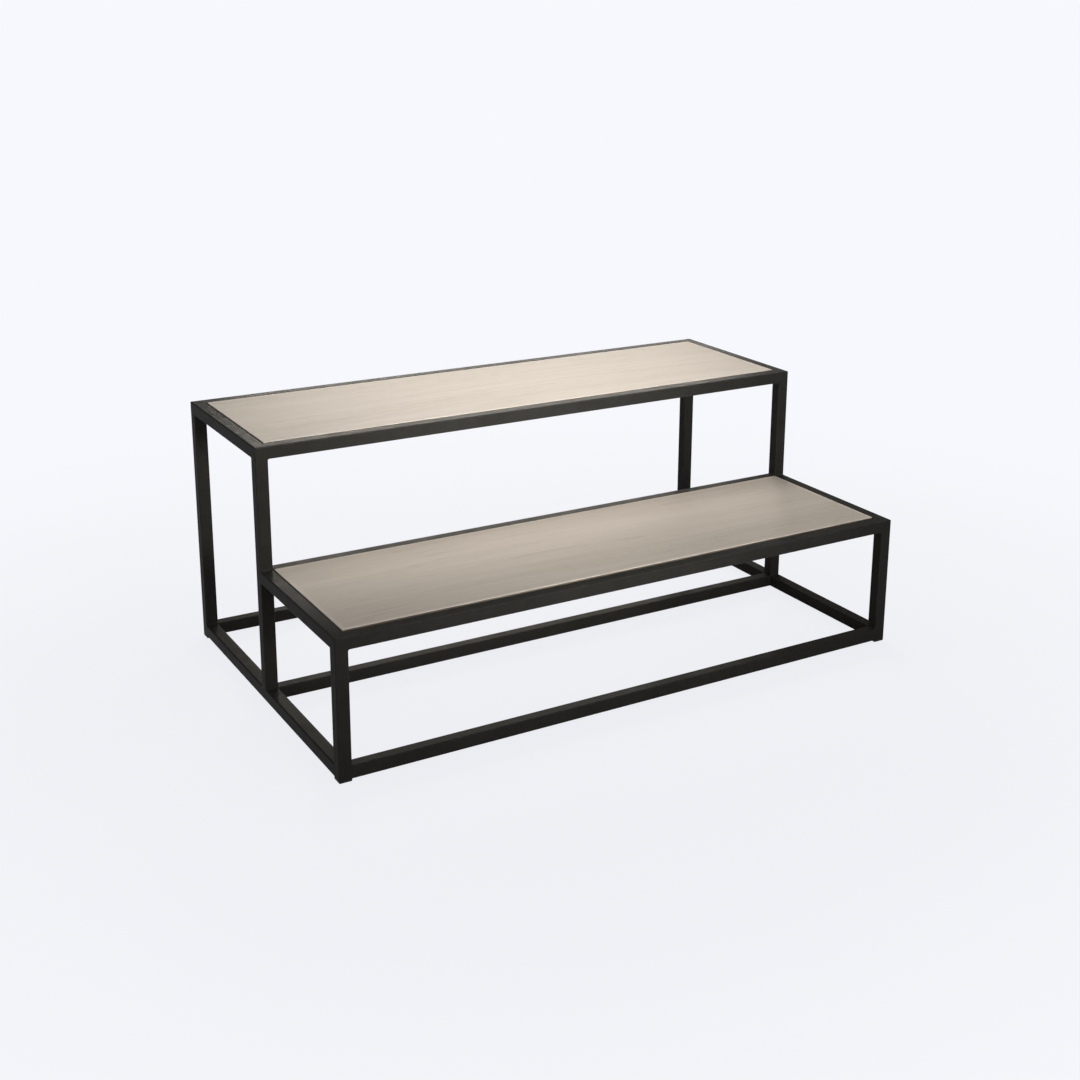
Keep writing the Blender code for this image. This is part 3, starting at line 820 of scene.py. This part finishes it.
def woodScrewTree():
    tree, given = newTree("wood_screw", ["Head", "Head Height", "Shank", "Length", "Pitch", "Slot Width",
                                         "Slot Length", "Slot Depth"], ["Seed"])
    # pan head: a ball flattened below and squared at the shoulder
    ball = add(tree, "GeometryNodeMeshUVSphere", {
        "Segments": screw["headSegments"], "Rings": screw["headRings"], "Radius": 1.0})
    x, y, z = parts(tree, position(tree))
    rise = calc(tree, "POWER", calc(tree, "MAXIMUM", z, 0.0), screw["shoulder"])
    half = calc(tree, "MULTIPLY", given["Head"], 0.5)
    pan = joined(tree, calc(tree, "MULTIPLY", x, half), calc(tree, "MULTIPLY", y, half),
                 calc(tree, "MULTIPLY", rise, given["Head Height"]))
    head = moved(tree, ball.outputs[0], pan)
    # cross recess cut by two blades
    deep = calc(tree, "MULTIPLY", given["Slot Depth"], 2.0)
    blades = []
    for wide, long in (("Slot Width", "Slot Length"), ("Slot Length", "Slot Width")):
        blade = add(tree, "GeometryNodeMeshCube", {"Size": joined(tree, given[wide], given[long], deep)})
        lifted = add(tree, "GeometryNodeTransform", {
            "Geometry": blade.outputs[0], "Translation": joined(tree, z=given["Head Height"])})
        blades.append(lifted.outputs[0])
    cut = add(tree, "GeometryNodeMeshBoolean", {"Mesh 1": head, "Mesh 2": together(tree, *blades)},
              operation="DIFFERENCE", solver="EXACT")
    # tapering core with its thread, pointing into the board
    core = add(tree, "GeometryNodeMeshCone", {
        "Vertices": screw["coreSides"], "Side Segments": screw["coreRings"], "Radius Top": screw["coreTip"],
        "Radius Bottom": calc(tree, "MULTIPLY", given["Shank"], screw["coreShare"]),
        "Depth": given["Length"]})
    threaded = calc(tree, "MULTIPLY", given["Length"], screw["threaded"])
    helix = add(tree, "GeometryNodeCurveSpiral", {
        "Resolution": screw["threadSteps"], "Rotations": calc(tree, "DIVIDE", threaded, given["Pitch"]),
        "Start Radius": calc(tree, "MULTIPLY", given["Shank"], screw["threadShare"]),
        "End Radius": screw["threadTip"], "Height": threaded})
    ridge = add(tree, "GeometryNodeCurvePrimitiveCircle", {
        "Resolution": screw["ridgeSides"],
        "Radius": calc(tree, "MULTIPLY", given["Shank"], screw["ridgeShare"])})
    thread = add(tree, "GeometryNodeCurveToMesh", {
        "Curve": helix.outputs[0], "Profile Curve": ridge.outputs[0], "Fill Caps": True})
    shank = together(tree, core.outputs[0], thread.outputs[0])
    down = add(tree, "GeometryNodeTransform", {"Geometry": shank, "Rotation": (math.pi, 0, 0)})
    whole = together(tree, cut.outputs[0], down.outputs[0])
    # every screw stops at a turn of its own, input 3 and output 1 are the node's floats
    spin = add(tree, "FunctionNodeRandomValue", {3: 2 * math.pi, "Seed": given["Seed"]}, data_type="FLOAT")
    driven = add(tree, "GeometryNodeInstanceOnPoints", {
        "Points": given["Points"], "Instance": whole,
        "Rotation": joined(tree, x=math.pi, z=spin.outputs[1])})
    closeTree(tree, driven.outputs[0], given["Finish"])
    return tree


screwNodes = sorted(name for name in nodes if "_screw_" in name)
bearing = []
for name in screwNodes:
    low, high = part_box(name)
    bearing.append(Vector(((low.x + high.x) / 2, (low.y + high.y) / 2, low.z + screw["headHeight"])))
screws = growPiece("shelf_screws", pointMesh("shelf_screws", bearing, {}), woodScrewTree(), {
    "Head": screw["head"], "Head Height": screw["headHeight"], "Shank": screw["shank"],
    "Length": screw["length"], "Pitch": screw["pitch"], "Slot Width": screw["slotWidth"],
    "Slot Length": screw["slotLength"], "Slot Depth": screw["slotDepth"], "Seed": screw["seed"],
    "Finish": zincPlate}, screw["sharpAngle"])
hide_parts(*screwNodes)
print("screws driven:", len(screwNodes))


# pale floor that runs into the background

floor = {
    "radius": 45.0,
    "sides": 96,
    "backdrop": (0.930, 0.939, 0.983, 1),
    "paint": (0.55, 0.55, 0.56, 1),
    "worn": (0.57, 0.57, 0.58, 1),
    "seenPaint": (0.95, 0.95, 0.96, 1),
    "grainScale": 14.0,
    "rough": 0.9,
    "specular": 0.1,
    "nearShare": 0.88,      # how far the floor near the stand has already gone into the background
    "fadeRange": (0.55, 1.7),
}


def makeFloor():
    finish, tree, shader, place = newFinish("studio_floor")
    at = place.outputs["Object"]
    grain = cloud(tree, at, floor["grainScale"])
    shade = blendColour(tree, spread(tree, grain, noiseRange), floor["paint"], floor["worn"])
    path = add(tree, "ShaderNodeLightPath").outputs
    seen = calc(tree, "MAXIMUM", path["Is Camera Ray"], path["Is Glossy Ray"])
    seen = calc(tree, "MAXIMUM", seen, path["Is Transmission Ray"])
    shade = blendColour(tree, seen, shade, floor["seenPaint"])
    tree.links.new(shade, shader.inputs["Base Color"])
    shader.inputs["Roughness"].default_value = floor["rough"]
    shader.inputs["Specular IOR Level"].default_value = floor["specular"]
    away = add(tree, "ShaderNodeVectorMath", {0: at}, operation="LENGTH").outputs["Value"]
    gone = spread(tree, away, floor["fadeRange"], floor["nearShare"], smooth=True)
    glow = add(tree, "ShaderNodeEmission", {"Color": floor["backdrop"], "Strength": 1.0})
    mixed = add(tree, "ShaderNodeMixShader", {
        0: calc(tree, "MULTIPLY", seen, gone), 1: shader.outputs[0], 2: glow.outputs[0]})
    tree.links.new(mixed.outputs[0], tree.nodes["Material Output"].inputs["Surface"])
    shape = bmesh.new()
    bmesh.ops.create_circle(shape, cap_ends=True, segments=floor["sides"], radius=floor["radius"])
    mesh = bpy.data.meshes.new("studio_floor")
    shape.to_mesh(mesh)
    shape.free()
    mesh.materials.append(finish)
    linkMesh("studio_floor", mesh)


makeFloor()


# light: a soft lamp above, a wide warm panel behind, a narrow lamp and a broad fill in front, a dim room

lamps = {
    "lamp_above": {"place": (0.11, 0.07, 0.97), "aim": (0.11, 0.07, 0.0), "wide": 0.92, "high": 0.34,
                   "power": 2.6, "colour": (1.0, 1.0, 1.0), "beam": 180.0},
    "panel_behind": {"place": (1.205, 2.52, 1.25), "aim": (0.0, 0.10, 0.41), "wide": 1.76, "high": 0.33,
                     "power": 44.0, "colour": (1.0, 0.93, 0.84), "beam": 180.0},
    "grid_in_front": {"place": (-0.06, -1.50, 0.70), "aim": (-0.06, 0.0, 0.50), "wide": 0.60, "high": 0.30,
                      "power": 1.70, "colour": (1.0, 0.98, 0.95), "beam": 44.0},
    "fill_in_front": {"place": (0.30, -2.00, 0.50), "aim": (0.0, 0.0, 0.35), "wide": 0.80, "high": 0.50,
                      "power": 4.6, "colour": (1.0, 0.98, 0.95), "beam": 180.0},
}
room = {
    "horizon": (0.930, 0.939, 0.983, 1),
    "wall": (0.20, 0.20, 0.205, 1),
    "ceiling": (0.22, 0.22, 0.22, 1),
    "wallRange": (0.01, 0.08),
    "ceilingRange": (0.16, 0.7),
}


def hangLamp(name, place, aim, wide, high, power, colour, beam):
    lamp = bpy.data.lights.new(name, "AREA")
    lamp.shape = "RECTANGLE"
    lamp.size = wide
    lamp.size_y = high
    lamp.energy = power
    lamp.color = colour
    lamp.spread = math.radians(beam)
    holder = bpy.data.objects.new(name, lamp)
    scene.collection.objects.link(holder)
    holder.location = place
    holder.rotation_euler = (Vector(aim) - Vector(place)).to_track_quat("-Z", "Y").to_euler()
    holder.visible_camera = False


def lightRoom():
    for name, lamp in lamps.items():
        hangLamp(name, **lamp)
    world = bpy.data.worlds.new("studio_room")
    world.use_nodes = True
    tree = world.node_tree
    way = add(tree, "ShaderNodeTexCoord").outputs["Generated"]
    rise = parts(tree, way)[2]
    low = spread(tree, rise, room["wallRange"], smooth=True)
    high = spread(tree, rise, room["ceilingRange"], smooth=True)
    colour = blendColour(tree, low, room["horizon"], room["wall"])
    colour = blendColour(tree, high, colour, room["ceiling"])
    tree.links.new(colour, tree.nodes["Background"].inputs["Color"])
    scene.world = world


lightRoom()
scene.view_settings.view_transform = "Standard"
print("floor and light set")


# camera as the photograph was taken

shot = {
    "place": (-1.22045, -2.12395, 1.06745),
    "azimuth": -31.2569,
    "elevation": 15.3471,
    "roll": 0.5911,
    "lens": 51.351,
    "sensor": 36.0,
    "shiftX": -0.0375,
    "shiftY": -0.1153,
    "farClip": 200.0,
}


def aimCamera():
    lens = bpy.data.cameras.new("shop_camera")
    lens.sensor_width = shot["sensor"]
    lens.lens = shot["lens"]
    lens.shift_x = shot["shiftX"]
    lens.shift_y = shot["shiftY"]
    lens.clip_end = shot["farClip"]
    camera = bpy.data.objects.new("shop_camera", lens)
    scene.collection.objects.link(camera)
    swing = Matrix.Rotation(math.radians(shot["azimuth"]), 4, "Z")
    tilt = Matrix.Rotation(math.radians(90 - shot["elevation"]), 4, "X")
    roll = Matrix.Rotation(math.radians(shot["roll"]), 4, "Z")
    camera.matrix_world = Matrix.Translation(shot["place"]) @ swing @ tilt @ roll
    scene.camera = camera


aimCamera()
print("camera aimed")
